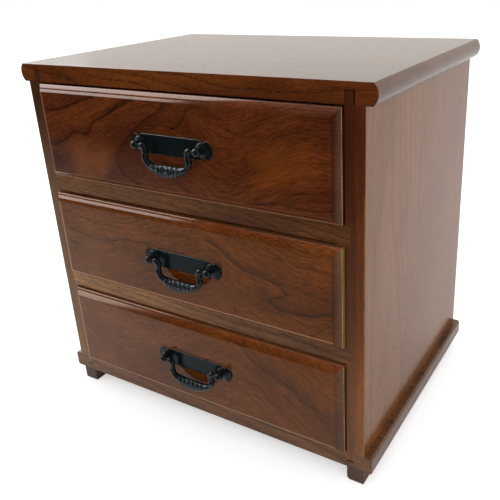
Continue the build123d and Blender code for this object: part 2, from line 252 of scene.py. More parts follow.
def side_board(name, pith, foot, head, shaded):
    """A side's broad face, and its front edge: two swatches for its foot and two for its head,
    where the darker head is painted shade.
    """
    material, tree, place = new_material(name)
    log = wavered(tree, along(tree, place, "Z", pith), ripple=0.02)
    rings = log_rings(tree, log, taper=0.03, width=0.006)
    edge = add_node(tree, "MapRange", {"Value": facing_of(tree)["Y"], "From Min": -0.8,
                                       "From Max": -0.9})
    # The edge is painted darker toward the top: painted shade.
    split = add_node(tree, "SeparateXYZ", {0: place}).outputs
    height = add_node(tree, "MapRange", {"Value": split["Z"], "From Min": 0.1,
                                         "From Max": 0.34})
    swatches = []
    for face, low, high in zip(("#864e1a", "#784212"), foot, head):
        front = add_node(tree, "Mix", {"Factor": height, "A": srgb(low), "B": srgb(high)},
                         data_type="RGBA")
        swatches.append(add_node(tree, "Mix", {"Factor": edge, "A": srgb(face), "B": front},
                                 data_type="RGBA"))
    # The inner half of the edge, by the drawers' opening, is painted darker as shade, as strongly
    # as shaded says.
    aside = add_node(tree, "Math", {0: split["X"]}, operation="ABSOLUTE")
    inner_shade = add_node(tree, "MapRange", {"Value": aside, "From Min": side_middle - 0.0002,
                                        "From Max": side_middle + 0.0006, "To Min": shaded,
                                        "To Max": 0.0})
    # Its outer corner is rubbed pale in patches and painted with a highlight, more toward the
    # foot.
    patchy = add_node(tree, "TexNoise", {"Vector": place, "Scale": 40.0, "Detail": 3.0})
    lower = add_node(tree, "MapRange", {"Value": split["Z"], "From Min": 0.36,
                                        "From Max": 0.20, "To Min": -0.25, "To Max": 0.1})
    wear_and_highlight = add_node(tree, "Math", {0: patchy, 1: lower}, operation="ADD")
    wear_and_highlight = add_node(tree, "MapRange", {"Value": wear_and_highlight, "From Min": 0.4, "From Max": 0.6,
                                       "To Max": 0.7})
    corner = add_node(tree, "MapRange", {"Value": aside, "From Min": side_outer - 0.0012,
                                         "From Max": side_outer - 0.0006})
    stained_wood(tree, log, rings, *swatches, "#3c1c0a", lining=0.35, gloss=0.2, flecking=0.25,
                 contrast=0.6, sheen="#fffcf2",
                 marks=[(combined(tree, inner_shade, edge), "#2e120c"),
                        (combined(tree, corner, edge, wear_and_highlight), "#a8743e")])
    return material


# The head swatches are darker than the foot's: painted shade toward the top of the edge.
dress("right_side", side_board("stained_zelkova_right_side", (0.10, -0.08, 0.0),
                               ("#824a1c", "#6e3a14"), ("#58260c", "#461c08"), shaded=0.35))
dress("left_side", side_board("stained_zelkova_left_side", (-0.10, -0.08, 0.0),
                              ("#7e5426", "#6a4018"), ("#4c2c14", "#40220c"), shaded=0.0))


# ---- Rails ----
# Two zelkova rails across the front, between the drawers. Their ends are housed in the side
# boards, their faces lie flush with them, and their lacquer shines less.
def rail(name, pith, left, right, dark, width, lining):
    """A rail that is paler toward its left end, partly its wood and partly painted light: two
    swatches for each end.
    """
    material, tree, place = new_material(name)
    log = wavered(tree, along(tree, place, "X", pith), ripple=0.02)
    rings = log_rings(tree, log, taper=0.05, width=width)
    across = add_node(tree, "SeparateXYZ", {0: place}).outputs["X"]
    # Paler toward the left end: partly the wood, partly painted light where the left is more lit.
    share = add_node(tree, "MapRange", {"Value": across, "From Min": -0.14, "From Max": 0.06})
    pale, mid = [add_node(tree, "Mix", {"Factor": share, "A": srgb(one), "B": srgb(other)},
                          data_type="RGBA") for one, other in zip(left, right)]
    stained_wood(tree, log, rings, pale, mid, dark, lining, gloss=0.2, lacquer=1.44)
    return material


dress("upper_rail", rail("stained_zelkova_upper_rail", (0.3, -0.1, 0.24), ("#7e4e1e", "#643c16"),
                         ("#603818", "#4c2812"), "#241008", width=0.003, lining=0.4))
dress("lower_rail", rail("stained_zelkova_lower_rail", (-0.2, -0.12, 0.10), ("#a4703c", "#88582a"),
                         ("#6c4422", "#563218"), "#2a1408", width=0.007, lining=0.6))


# ---- Back panel, runners, dust panels and stops ----
# Thin boards of pale cedar that no one sees, planed and left without a finish, so they look dry.
# The runners are housed in the sides, the panels lie in grooves, and the stops are glued on.
drawers = ("top", "middle", "bottom")


def bare_wood(name, grain, pith, pale, dark):
    """Planed pale wood with no stain and no lacquer."""
    material, tree, place = new_material(name)
    log = wavered(tree, along(tree, place, grain, pith), ripple=0.02)
    rings = log_rings(tree, log, taper=0.04, width=0.005)
    # Fibres drawn 1 mm broad, so that they show.
    fibres = uneven_growth(tree, log, lengthwise=40.0, across=900.0, detail=3.0)
    lined = add_node(tree, "Mix", {"Factor": rings, "A": srgb(pale), "B": srgb(dark)},
                     data_type="RGBA")
    tone = add_node(tree, "MapRange", {"Value": fibres, "From Min": 0.3, "From Max": 0.7,
                                       "To Min": 0.86, "To Max": 1.06})
    toned = add_node(tree, "VectorMath", {0: lined, "Scale": tone}, operation="SCALE")
    bump = add_node(tree, "Bump", {"Height": fibres, "Strength": 0.4, "Distance": 0.0002})
    finish_material(tree, Base_Color=toned, Roughness=0.72, Normal=bump)
    return material


back_wood = bare_wood("planed_cedar_back", "Z", (0.05, 0.1, 0.0), "#a98660", "#947049")
inner_wood = bare_wood("planed_cedar_inside", "Y", (0.05, 0.0, 0.1), "#b3946c", "#94704a")
across_wood = bare_wood("planed_cedar_across", "X", (0.0, 0.1, 0.1), "#b3946c", "#94704a")
dress("back_panel", back_wood)
for level in ("upper", "lower"):
    dress(level + "_dust_panel", across_wood)
    dress(level + "_right_runner", inner_wood)
    dress(level + "_left_runner", inner_wood)
for level in drawers:
    dress(level + "_drawer_stops", across_wood)


# ---- Skids ----
# Two strips of zelkova under the base, stained but dull. Three screws go up through each, from
# pockets that hide the heads.
skid_wood = plain_board("stained_zelkova_skid", "Y", (0.25, 0.0, 0.03), "#5a3a28", "#4a2e20",
                        "#2a160e", gloss=0.45)
dress("right_skid", skid_wood)
dress("left_skid", skid_wood)


# ---- Screws and nails ----
# The screws that hold the skids, and small round nails in the back, of steel plated with zinc,
# which gives the eye a soft grey gleam.
def bright_steel(name):
    """Zinc over steel, its gloss uneven at 0.4 mm."""
    material, tree, place = new_material(name)
    brushed = add_node(tree, "TexNoise", {"Vector": place, "Scale": 2500.0})
    rough = add_node(tree, "MapRange", {"Value": brushed, "To Min": 0.25, "To Max": 0.45})
    finish_material(tree, Base_Color=srgb("#a8a9ab"), Metallic=1.0, Roughness=rough)
    return material


steel = bright_steel("zinc_plated_steel")
dress("skid_screws", steel)
dress("back_nails", steel)


# ---- Drawer fronts ----
# Flat-sawn zelkova boards picked for their figure, each with a broad bevel planed round its flat,
# stained and lacquered like the case. Their growth lines are given where they cross the flat, in
# millimetres from its middle.
half_mm = {"X": 180.0, "Z": 60.0}
line_fade_mm = 8.0
# The bevel runs this far in from each side, and as far back.
bevel_mm = 6.5


def curve_through(tree, axes, points, run, rise):
    """Where a curve through points lies along one axis, at each place along the other."""
    share = add_node(tree, "MapRange", {"Value": axes[run], "From Min": -half_mm[run],
                                        "From Max": half_mm[run]})
    curve = add_node(tree, "FloatCurve", {"Value": share})
    located = [((a / half_mm[run] + 1) / 2, (b / half_mm[rise] + 1) / 2) for a, b in points]
    knots = curve.mapping.curves[0].points
    knots[0].location = located[0]
    knots[1].location = located[-1]
    for knot in located[1:-1]:
        knots.new(*knot)
    curve.mapping.update()
    return add_node(tree, "MapRange", {"Value": curve, "To Min": -half_mm[rise],
                                       "To Max": half_mm[rise]})


def growth_line(tree, axes, points, breadth_mm, depth, run="X"):
    """A dark line through points along one axis, sharp below it and fading out above."""
    rise = "Z" if run == "X" else "X"
    ordered = sorted((p if run == "X" else (p[1], p[0])) for p in points)
    first, last = ordered[0], ordered[-1]
    whole = [(-half_mm[run], first[1])] + ordered + [(half_mm[run], last[1])]
    level = curve_through(tree, axes, whole, run, rise)
    above = add_node(tree, "Math", {0: axes[rise], 1: level}, operation="SUBTRACT")
    fading = add_node(tree, "MapRange", {"Value": above, "From Max": 4.8 * breadth_mm,
                                         "To Min": 0.75, "To Max": 0.0})
    core = add_node(tree, "MapRange", {"Value": above, "From Min": 0.75 * breadth_mm,
                                       "From Max": 1.5 * breadth_mm, "To Min": 1.0,
                                       "To Max": 0.0})
    body = combined(tree, fading, core, how="MAXIMUM")
    edge = add_node(tree, "MapRange", {"Value": above, "From Min": -1.05 * breadth_mm,
                                       "From Max": 0.45 * breadth_mm})
    begin = add_node(tree, "MapRange", {"Value": axes[run], "From Min": first[0] - line_fade_mm,
                                        "From Max": first[0], "To Max": depth})
    end = add_node(tree, "MapRange", {"Value": axes[run], "From Min": last[0],
                                      "From Max": last[0] + line_fade_mm, "To Min": 1.0,
                                      "To Max": 0.0})
    return combined(tree, body, edge, begin, end)


def spot(tree, flat, ragged, middle, spread, depth):
    """A soft ragged patch round a point, in millimetres: depth says how strong its middle is."""
    away = add_node(tree, "VectorMath", {0: flat, 1: (*middle, 0.0)}, operation="SUBTRACT")
    away = add_node(tree, "VectorMath", {0: away, 1: (*spread, 1.0)}, operation="DIVIDE")
    away = add_node(tree, "VectorMath", {0: away}, operation="LENGTH")
    away = add_node(tree, "Math", {0: away, 1: ragged}, operation="ADD")
    return add_node(tree, "MapRange", {"Value": away, "To Min": depth, "To Max": 0.0},
                    interpolation_type="SMOOTHSTEP")


def near(tree, value, middle, within, beyond, strength=1.0):
    """A mask on both sides of a middle value: whole within a distance, gone beyond another."""
    aside = add_node(tree, "Math", {0: value, 1: middle}, operation="SUBTRACT")
    aside = add_node(tree, "Math", {0: aside}, operation="ABSOLUTE")
    return add_node(tree, "MapRange", {"Value": aside, "From Min": within, "From Max": beyond,
                                       "To Min": strength, "To Max": 0.0})


def rubbed_edge(tree, local, depth_mm, up):
    """The bevel's outer edge, where the stain is rubbed thin and lets the pale wood through."""
    outer_mm = bevel_mm - 0.1
    patchy = add_node(tree, "TexNoise", {"Vector": local, "Scale": 45.0, "Detail": 2.0})
    patches = add_node(tree, "MapRange", {"Value": patchy, "From Min": 0.35, "From Max": 0.6,
                                          "To Min": 0.3, "To Max": 0.85})
    less_on_top = add_node(tree, "MapRange", {"Value": up, "From Min": 0.3, "From Max": 0.5,
                                              "To Min": 1.0, "To Max": 0.35})
    arris = near(tree, depth_mm, outer_mm, within=0.15, beyond=0.5)
    rubbed = combined(tree, arris, patches, less_on_top)
    # Its lower edge, which fingers catch, is rubbed the most.
    lower = add_node(tree, "MapRange", {"Value": up, "From Min": -0.3, "From Max": -0.5})
    caught = near(tree, depth_mm, outer_mm, within=0.7, beyond=1.3, strength=0.9)
    return combined(tree, rubbed, combined(tree, caught, lower), how="MAXIMUM")


def lit_rubbed_crease(tree, in_mm, facing, left_mm, foot_mm, foot_rub_and_gleam):
    """A pale line of rubbed wear and painted highlight along the crease at the left end, and, with
    a foot strength above 0, along the foot of the flat as well.
    """
    left_end = near(tree, in_mm["X"], left_mm, within=1.3, beyond=2.1,
                    strength=0.35 + 0.55 * foot_rub_and_gleam)
    level_face = add_node(tree, "MapRange", {"Value": facing["Z"], "From Min": 0.2,
                                             "From Max": 0.4, "To Min": 1.0, "To Max": 0.0})
    foot = add_node(tree, "MapRange", {"Value": in_mm["Z"], "From Min": foot_mm + 1.5,
                                       "From Max": foot_mm + 0.8})
    flat = add_node(tree, "MapRange", {"Value": facing["Y"], "From Min": -0.9,
                                       "From Max": -0.97, "To Max": foot_rub_and_gleam})
    return combined(tree, combined(tree, foot, flat), combined(tree, left_end, level_face),
                    how="MAXIMUM")


def planed_bevel(tree, depth_mm, up, quirk_mm, cove_mm, full_at):
    """The normal of a bevel whose slope the plane has left a little uneven."""
    # It is planed a little round: its slope changes by 17 degrees over its breadth.
    rounded = add_node(tree, "MapRange", {"Value": depth_mm, "From Max": bevel_mm,
                                          "To Min": -0.21, "To Max": 0.21})
    # Along the top its foot may be left full, and the plane has cut a fine step or a hollow.
    fuller = add_node(tree, "MapRange", {"Value": up, "From Min": 0.3, "From Max": 0.5,
                                         "To Min": -1.0, "To Max": full_at})
    rise = add_node(tree, "MapRange", {"Value": depth_mm, "From Max": bevel_mm, "To Max": 0.1})
    fuller = add_node(tree, "Math", {0: fuller, 1: rise}, operation="ADD")
    rounded = combined(tree, rounded, fuller, how="MAXIMUM")
    cove = add_node(tree, "MapRange", {"Value": depth_mm, "From Min": cove_mm - 0.4,
                                       "From Max": cove_mm + 0.4, "To Min": 0.6, "To Max": 0.0})
    quirk = near(tree, depth_mm, quirk_mm, within=0.4, beyond=0.65)
    cut = combined(tree, quirk, cove, how="MAXIMUM")
    on_top = add_node(tree, "MapRange", {"Value": up, "From Min": 0.3, "From Max": 0.5,
                                         "To Max": -0.8})
    bend = add_node(tree, "Math", {0: cut, 1: on_top, 2: rounded}, operation="MULTIPLY_ADD")
    # The normal is bent toward the back, by that share of the part of Y that lies across it.
    normal = add_node(tree, "NewGeometry").outputs["Normal"]
    outward = add_node(tree, "VectorMath", {0: normal, 1: (0.0, 1.0, 0.0)},
                       operation="DOT_PRODUCT")
    outward = add_node(tree, "VectorMath", {0: normal, "Scale": outward}, operation="SCALE")
    backward = add_node(tree, "VectorMath", {0: (0.0, 1.0, 0.0), 1: outward},
                        operation="SUBTRACT")
    turned = add_node(tree, "VectorMath", {0: backward, "Scale": bend}, operation="SCALE")
    bent = add_node(tree, "VectorMath", {0: normal, 1: turned}, operation="ADD")
    return add_node(tree, "VectorMath", {0: bent}, operation="NORMALIZE")


def drawer_front(level, lines, fibre, spots, pale, mid, dark, end, foot_rub_and_gleam, quirk_mm,
                 cove_mm=-1.0, full_at=-1.0):
    """One front: its growth, its worn edges, its painted shade and highlights, and its bevel. A
    cove or a fullness of -1 is none.
    """
    low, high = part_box(level + "_drawer_front")
    middle = (0.0, low[1], (low[2] + high[2]) / 2)
    material, tree, place = new_material("stained_zelkova_front_" + level)
    local = add_node(tree, "VectorMath", {0: place, 1: middle}, operation="SUBTRACT")
    true_mm = add_node(tree, "VectorMath", {0: local, "Scale": 1000.0}, operation="SCALE")
    true_mm = add_node(tree, "SeparateXYZ", {0: true_mm}).outputs
    depth_mm = true_mm["Y"]
    facing = facing_of(tree)
    up = facing["Z"]
    # The board's log, whose fibres follow the given one, and its rings.
    grown = wavered(tree, local, ripple=0.005, length=0.03, breadth=0.02)
    grown_mm = add_node(tree, "VectorMath", {0: grown, "Scale": 1000.0}, operation="SCALE")
    axes = add_node(tree, "SeparateXYZ", {0: grown_mm}).outputs
    level_with = curve_through(tree, axes, fibre, "X", "Z")
    across = add_node(tree, "Math", {0: axes["Z"], 1: level_with}, operation="SUBTRACT")
    log = add_node(tree, "CombineXYZ", {"X": axes["X"], "Y": axes["Y"], "Z": across})
    log = add_node(tree, "VectorMath", {0: log, "Scale": 0.001}, operation="SCALE")
    masks = [growth_line(tree, axes, *line) for line in lines]
    # Between the drawn lines the growth is weaker, in rings 2.8 mm wide.
    faint = ring_ramp(tree, across, width=2.8, runs=0.09, shift=2.4, detail=2.0, between=0.0,
                      darks=((0.1, 0.34), (0.26, 0.16), (0.5, 0.03)))
    rings = combined(tree, *masks, faint, how="MAXIMUM")
    # The bevel was sanded more than the flat, except on the right, so it took less stain away
    # from the crease.
    sloped = add_node(tree, "MapRange", {"Value": facing["Y"], "From Min": -0.97,
                                         "From Max": -0.9, "To Max": 0.5})
    not_right = add_node(tree, "MapRange", {"Value": facing["X"], "From Min": 0.3,
                                            "From Max": 0.5, "To Min": 1.0, "To Max": 0.0})
    away = add_node(tree, "MapRange", {"Value": depth_mm, "From Min": 0.5, "From Max": 4.0,
                                       "To Min": 0.15, "To Max": 1.0})
    sanded = combined(tree, sloped, not_right, away)
    swatches = [add_node(tree, "Mix", {"Factor": sanded, "A": srgb(stained), "B": srgb(bare)},
                         data_type="RGBA")
                for stained, bare in ((pale, "#8a4824"), (mid, "#6e3418"))]
    # Painted shade along the crease of its upright bevels, darkest at the crease and fading toward
    # the outer edge.
    sideways = add_node(tree, "Math", {0: facing["X"]}, operation="ABSOLUTE")
    upright = add_node(tree, "MapRange", {"Value": sideways, "From Min": 0.3, "From Max": 0.5})
    crease_shade = add_node(tree, "MapRange", {"Value": depth_mm, "From Min": 0.2, "From Max": 6.0,
                                           "To Min": 0.5, "To Max": 0.1})
    rubbed = rubbed_edge(tree, local, depth_mm, up)
    # The creases are painted pale: rubbed wear with a painted highlight on their rounding.
    crease_wear_and_gleam = lit_rubbed_crease(tree, true_mm, facing, 1000 * low[0] + bevel_mm,
                           500 * (low[2] - high[2]) + bevel_mm, foot_rub_and_gleam)
    end_face = add_node(tree, "MapRange", {"Value": sideways, "From Min": 0.9, "From Max": 0.95})
    # The top edge is painted paler: bare wood there, with painted light that lifts the shade of
    # the gap above it.
    lit_top_edge = add_node(tree, "MapRange", {"Value": up, "From Min": 0.9, "From Max": 0.95})
    ragged = add_node(tree, "TexNoise", {"Vector": log, "Scale": 26.0, "Detail": 3.0})
    ragged = add_node(tree, "MapRange", {"Value": ragged, "From Min": 0.3, "From Max": 0.7,
                                         "To Min": -0.4, "To Max": 0.5})
    flat = add_node(tree, "CombineXYZ", {"X": axes["X"], "Y": axes["Z"]})
    marks = [(spot(tree, flat, ragged, *where), swatch) for *where, swatch in spots]
    marks += [(combined(tree, crease_shade, upright), "#2a130c"), (rubbed, "#b08a68"),
              (crease_wear_and_gleam, "#a0765a"), (end_face, end), (lit_top_edge, "#945c3a")]
    stained_wood(tree, log, rings, *swatches, dark, lining=0.85, gloss=0.09, marks=marks,
                 shape=planed_bevel(tree, depth_mm, up, quirk_mm, cove_mm, full_at),
                 flecking=0.6, contrast=1.45, sheen="#fff6e4")
    dress(level + "_drawer_front", material)


# Each growth line: its points, its breadth, how dark it is, and the axis it runs along, if not X.
top_lines = [
    ([(-157, 23), (-139, 26), (-122, 31), (-103, 37), (-90, 41)], 2.0, 1.0),
    ([(-157, -13), (-138, -5), (-121, 4), (-110, 3), (-102, 6), (-96, 14), (-84, 20), (-67, 29),
      (-49, 37), (-39, 41)], 2.2, 1.0),
    ([(-4, 40), (-22, 28), (-39, 16), (-55, 3), (-67, -11), (-71, -21), (-61, -34), (-47, -40)],
     2.8, 0.9, "Z"),
    ([(31, 39), (19, 28), (5, 18)], 1.6, 0.9),
    ([(-2, -31), (5, -34), (17, -39)], 1.0, 0.6),
    ([(71, -13), (89, -5), (105, 0), (120, 9), (130, 16)], 0.8, 0.5),
    ([(48, 34), (62, 24), (80, 18), (98, 20), (118, 26), (140, 27), (160, 24)], 1.0, 0.5),
    ([(44, -22), (60, -25), (78, -27), (92, -22), (108, -17), (124, -18), (142, -12)], 0.9, 0.55),
    ([(56, -34), (72, -33), (88, -29), (102, -26), (118, -28), (134, -25), (156, -22)], 0.9, 0.5),
    ([(82, -43), (97, -40), (114, -37), (137, -38), (152, -37), (165, -35)], 1.2, 0.8),
]
middle_lines = [
    ([(-154, 33), (-127, 27), (-102, 23), (-77, 24)], 1.0, 0.6),
    ([(-154, 10), (-131, 8), (-113, 6), (-92, 8), (-68, 13), (-49, 14), (-35, 13)], 1.2, 0.8),
    ([(-155, -6), (-135, -9), (-116, -9), (-94, -4), (-72, 4)], 1.0, 0.6),
    ([(-52, -2), (-58, -10), (-67, -14), (-77, -16), (-85, -27), (-90, -35)], 1.0, 0.6, "Z"),
    ([(-43, 38), (-34, 27), (-14, 28), (6, 31), (16, 29)], 1.2, 0.7),
    ([(35, 32), (45, 28), (53, 22), (63, 16), (76, 10), (91, 7), (104, 4), (112, 3)], 2.0, 1.0),
    ([(115, -1), (118, -4), (111, -7), (101, -12), (101, -17), (108, -21)], 2.4, 1.0, "Z"),
    ([(108, -21), (120, -23), (135, -22), (150, -19), (163, -15)], 1.8, 1.0),
    ([(74, 36), (90, 31), (114, 28), (136, 26), (154, 26), (165, 26)], 0.8, 0.5),
    ([(36, -16), (46, -18), (55, -22), (60, -29), (59, -37)], 1.0, 0.5, "Z"),
    ([(137, -41), (150, -35), (163, -26)], 1.0, 0.6),
]
bottom_lines = [
    ([(64, 39), (72, 29), (85, 22), (101, 15), (117, 9), (130, -1), (141, -6), (154, -17)],
     2.6, 0.8),
    ([(135, 4), (146, -4), (155, -10)], 1.2, 0.6),
    ([(-54, 38), (-53, 29), (-57, 22), (-49, 15)], 1.2, 0.5, "Z"),
]
# One fibre of each front, from its left end to its right one.
top_fibre = [(-180, -24), (-110, 2), (-60, 24), (-20, 36), (20, 30), (60, 12), (100, 26),
             (140, 40), (180, 42)]
middle_fibre = [(-180, 8), (-110, 6), (-40, 14), (0, 28), (30, 32), (63, 16), (104, 4),
                (140, -4), (180, -8)]
bottom_fibre = [(-180, 36), (-60, 4), (-20, 20), (30, 40), (64, 36), (101, 15), (130, -1),
                (154, -17), (180, -26)]
# Where the figure darkens or glows on each front: middle, spread, strength and colour.
top_spots = [((120, -6), (48, 34), 0.38, "#7e4010"), ((28, 22), (38, 28), 0.35, "#35170a"),
             ((-108, -24), (56, 32), 0.45, "#84481c"), ((-150, -30), (32, 28), 0.95, "#2c1309"),
             ((-60, -14), (28, 34), 0.4, "#35170a")]
middle_spots = [((-110, -8), (60, 36), 0.35, "#70441c"), ((110, -14), (30, 20), 0.35, "#3a1a0c")]
bottom_spots = [((105, 18), (66, 20), 0.4, "#3a1a0c")]
drawer_front("top", top_lines, top_fibre, top_spots, "#623014", "#4e2412", "#2c1307", "#5e3a14",
             foot_rub_and_gleam=0.0, quirk_mm=3.0)
drawer_front("middle", middle_lines, middle_fibre, middle_spots, "#6c380c", "#572908", "#2e1508",
             "#bc974c", foot_rub_and_gleam=0.9, quirk_mm=5.2, cove_mm=2.2)
drawer_front("bottom", bottom_lines, bottom_fibre, bottom_spots, "#6c380f", "#58290a", "#321607",
             "#6f5a3c", foot_rub_and_gleam=0.9, quirk_mm=5.1, full_at=0.02)


# ---- Drawer boxes ----
# The four hidden boards of each drawer, of pale planed cedar: two sides let into the back of the
# front, a back between them, and a bottom in grooves.
for level in drawers:
    dress(level + "_drawer_right_side", inner_wood)
    dress(level + "_drawer_left_side", inner_wood)
    dress(level + "_drawer_back", across_wood)
    dress(level + "_drawer_bottom", across_wood)


# ---- Pull plates ----
# Flat plates of sand-cast iron, painted black with a low gloss; the rims that face up are painted
# paler in patches, as wear and a painted highlight. The posts' stems hold them, by flanged steel
# nuts inside the drawers.
def black_iron(name, skin, wear_and_highlight, worn_metal, rough_low, rough_high):
    """Painted iron. An attribute of the mesh says where it is rubbed; without one, the rim that
    faces up is painted paler, as wear and a painted highlight.
    """
    material, tree, place = new_material(name)
    # The sand leaves grains, drawn 1 mm broad, so that they show. The wear and the painted
    # highlight come in 4 mm patches.
    cast = add_node(tree, "TexNoise", {"Vector": place, "Scale": 900.0, "Detail": 4.0})
    patchy = add_node(tree, "TexNoise", {"Vector": place, "Scale": 260.0, "Detail": 3.0})
    patchy = add_node(tree, "MapRange", {"Value": patchy, "From Min": 0.3, "From Max": 0.55,
                                         "To Min": 0.4})
    if worn_metal:
        wear_and_lit_rim = add_node(tree, "Attribute", attribute_name="rubbed").outputs["Fac"]
    else:
        # Without the attribute, faces turned up are painted paler: a painted highlight along the
        # rim.
        wear_and_lit_rim = add_node(tree, "MapRange", {"Value": facing_of(tree)["Z"], "From Min": 0.3,
                                           "From Max": 0.8, "To Max": 0.8})
    both = combined(tree, wear_and_lit_rim, patchy)
    colour = add_node(tree, "Mix", {"Factor": both, "A": srgb(skin), "B": srgb(wear_and_highlight)},
                      data_type="RGBA")
    rough = add_node(tree, "MapRange", {"Value": cast, "From Min": 0.3, "From Max": 0.7,
                                        "To Min": rough_low, "To Max": rough_high})
    bump = add_node(tree, "Bump", {"Height": cast, "Strength": 0.3, "Distance": 0.0001})
    finish_material(tree, Base_Color=colour, Roughness=rough, Normal=bump,
                    Metallic=both if worn_metal else 0.0, IOR=1.5 if worn_metal else 1.42,
                    Specular_Tint=srgb("#bcd2de"), Coat_Weight=0.45 if worn_metal else 0.0,
                    Coat_Roughness=0.12, Coat_Tint=srgb("#dbe6ec"))
    return material


# The plates' paler colour on their upper rim is a painted highlight.
plate_iron = black_iron("black_painted_iron_plate", "#0b1214", "#6a6456", worn_metal=False,
                        rough_low=0.18, rough_high=0.3)
for level in drawers:
    dress(level + "_pull_plate", plate_iron)
    dress(level + "_pull_nuts", steel)


# ---- Pull posts ----
# Turned posts of the same iron: a base ring, a collar, a neck, and a ball that holds the bail.
# Their stems go through the plate and the front.
def pull_middle(level):
    """The middle of a pull, on the flat of its drawer front."""
    low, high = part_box(level + "_pull_plate")
    return Vector(((low[0] + high[0]) / 2, high[1], (low[2] + high[2]) / 2))


def iron_piece(shape, name, node, body, at):
    """Puts a finished bmesh at its place as a piece, in the stead of a solid of the frame."""
    bmesh.ops.translate(shape, verts=shape.verts, vec=at)
    bmesh.ops.recalc_face_normals(shape, faces=shape.faces)
    for face in shape.faces:
        face.smooth = True
    for edge in shape.edges:
        edge.smooth = len(edge.link_faces) == 2 and edge.calc_face_angle(0.0) < smooth_below
    mesh = bpy.data.meshes.new(name)
    shape.to_mesh(mesh)
    shape.free()
    mesh.materials.append(iron)
    piece = bpy.data.objects.new(name, mesh)
    bpy.context.scene.collection.objects.link(piece)
    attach(piece, body)
    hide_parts(node)


smooth_below = radians(50)
iron = black_iron("black_painted_cast_iron", "#0b1214", "#69777d", worn_metal=True,
                  rough_low=0.24, rough_high=0.38)
post_spacing = 0.072
ball_radius_mm = 4.2
ball_middle_mm = 8.2
# The outline that the posts are turned to: radius and height.
post_profile_mm = [(0.0, 0.6), (6.2, 0.6), (6.7, 1.1), (6.8, 1.7), (6.5, 2.3), (5.9, 2.6),
                   (5.2, 2.7), (5.0, 2.9), (5.1, 3.3), (5.4, 3.6), (5.4, 4.0), (5.0, 4.3),
                   (3.7, 4.4), (3.3, 4.7)]
post_profile_mm += [(ball_radius_mm * cos(radians(turn)),
                     ball_middle_mm + ball_radius_mm * sin(radians(turn)))
                    for turn in range(-48, 91, 6)]

for level in drawers:
    posts = bmesh.new()
    for middle in (-post_spacing / 2, post_spacing / 2):
        rim = [posts.verts.new((middle + radius / 1000, -height / 1000, 0.0))
               for radius, height in post_profile_mm]
        chain = [posts.edges.new(pair) for pair in zip(rim, rim[1:])]
        bmesh.ops.spin(posts, geom=rim + chain, cent=(middle, 0, 0), axis=(0, 1, 0),
                       angle=2 * pi, steps=40, use_merge=True)
    bmesh.ops.remove_doubles(posts, verts=posts.verts, dist=0.00001)
    rubbed = posts.verts.layers.float.new("rubbed")
    for vert in posts.verts:
        vert[rubbed] = 0.0
    iron_piece(posts, level + "_turned_posts", level + "_pull_posts", level + "_drawer",
               pull_middle(level))


# ---- Bails ----
# Swinging handles of the same iron, cast in one piece, with pins that turn in the balls: a
# knuckle by each ball, a slim arm, a bead, and a thick crescent grip. Scrolled leaves stand in
# low relief on its front, rubbed to the metal.
bail_stations_mm = [
    # x, z, half width in the bail's plane, half depth, from the right end to the lowest place
    (32.4, 0.0, 1.5, 1.5), (29.8, 0.0, 1.5, 1.5), (29.3, 0.0, 2.2, 2.2), (28.5, 0.0, 2.9, 2.9),
    (27.3, -0.2, 3.1, 3.1), (26.1, -0.9, 3.2, 3.1), (25.2, -2.1, 3.1, 3.0), (24.9, -3.6, 2.9, 2.9),
    (24.9, -5.2, 2.7, 2.8), (25.1, -7.2, 2.6, 2.7), (25.4, -8.8, 2.7, 2.8), (25.6, -9.8, 2.9, 3.1),
    (25.7, -10.7, 3.2, 3.4), (25.7, -11.6, 3.1, 3.4), (25.5, -12.5, 2.9, 3.2),
    (24.9, -14.0, 2.8, 3.1), (23.6, -15.8, 2.9, 3.3), (21.3, -17.6, 3.2, 3.6),
    (18.0, -19.2, 3.8, 4.0), (14.0, -20.4, 4.6, 4.3), (9.5, -21.3, 5.3, 4.45),
    (5.0, -21.8, 5.8, 4.5), (0.0, -22.0, 6.0, 4.5)]
ring_gap_mm = 0.35
pivot_reach = 0.008
grip_from_mm = -14.0
grip_radius_mm = 5.0
# Each scroll: its middle along and across the grip, its radius, and where it opens, in degrees.
scrolls_mm = ((-16.5, 1.0, 1.7, -60), (-10.6, 1.9, 2.1, 200), (-4.6, 2.6, 2.0, -50),
              (1.4, 1.9, 2.2, 210), (7.4, 2.3, 2.1, -40), (13.2, 1.3, 1.9, 190),
              (18.0, 0.6, 1.4, -60))
scroll_turn = radians(290)
# Each leaf rib: where it starts and ends, along and across the grip. The last ones are over it.
ribs_mm = ((-13.5, -1.8, -10.5, -4.6), (-9.6, -0.9, -6.0, -4.9), (-5.4, -0.6, -2.2, -5.0),
           (-1.2, -1.0, 1.4, -5.2), (3.2, -1.0, 4.6, -5.0), (9.6, -0.8, 7.4, -4.8),
           (13.6, -1.6, 11.0, -4.4), (-16.0, 4.4, -12.6, 6.6), (-10.6, 5.2, -7.4, 7.4),
           (-4.8, 5.6, -1.6, 7.8), (1.4, 5.6, 4.6, 7.8), (7.4, 5.2, 10.6, 7.2),
           (13.0, 4.2, 16.0, 6.2))
ridge_half_mm = 0.62
relief_depth_mm = 0.8
relief_sunk = 0.3
rubbed_from = 0.55
rubbed_bare = 0.9


